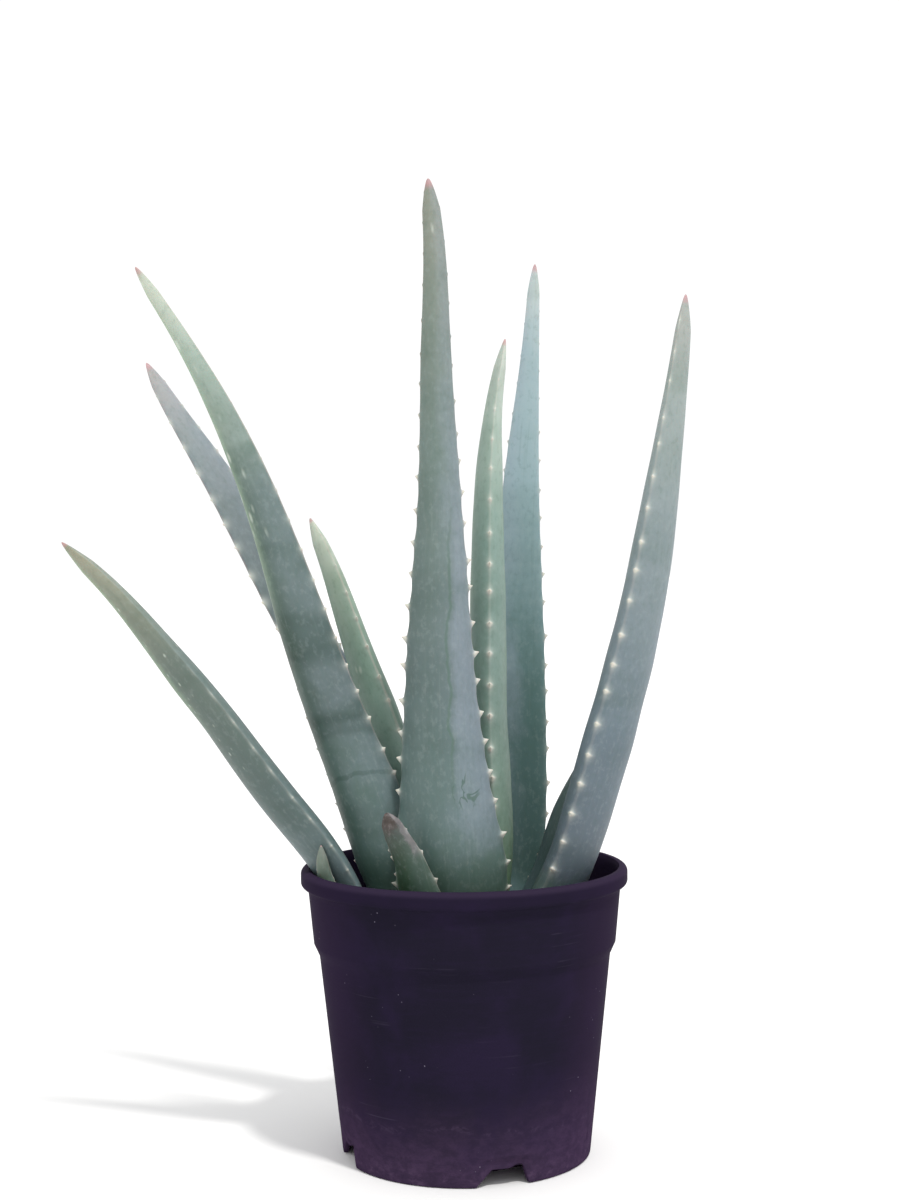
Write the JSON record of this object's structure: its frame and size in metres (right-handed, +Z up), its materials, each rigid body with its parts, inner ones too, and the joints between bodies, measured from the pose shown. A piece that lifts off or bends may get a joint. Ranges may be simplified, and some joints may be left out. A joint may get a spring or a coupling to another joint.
{
  "type": "potted aloe plant",
  "caption": "Aloe with long tapering leaves edged with small pale teeth, in a round tapered plastic nursery pot with a rolled rim, a stacking band and a notched foot.",
  "frame": {"origin": "on the floor, on the pot's axis, at the middle of the flat face it rests on", "axes": "+Z up along the pot's axis; -Y is the front, with the tallest leaf; +X is to the right seen from the front"},
  "size_m": [0.3174, 0.17, 0.4985],
  "materials": {
    "pot_plastic": "dull dark purple-grey moulded plastic, dusty at the foot",
    "soil": "dark crumbly potting mix with pale grit",
    "stem_bark": "dry fibrous tan bark",
    "aloe_leaf": "waxy blue-green skin with a pale bloom, cream teeth",
    "withered_leaf": "green base drying to a grey-brown papery end"
  },
  "bodies": {
    "root": {"pot": "pot_plastic", "soil": "soil", "stem_main": "stem_bark", "stem_side": "stem_bark", "leaf_front_tall": "aloe_leaf", "leaf_front_left": "aloe_leaf", "leaf_back_left": "aloe_leaf", "leaf_small_left": "aloe_leaf", "leaf_centre": "aloe_leaf", "leaf_back_right": "aloe_leaf", "leaf_right": "aloe_leaf", "leaf_right_inner": "aloe_leaf", "side_leaf_long": "aloe_leaf", "side_leaf_bud": "aloe_leaf", "leaf_withered_stub": "withered_leaf"}
  },
  "joints": []
}
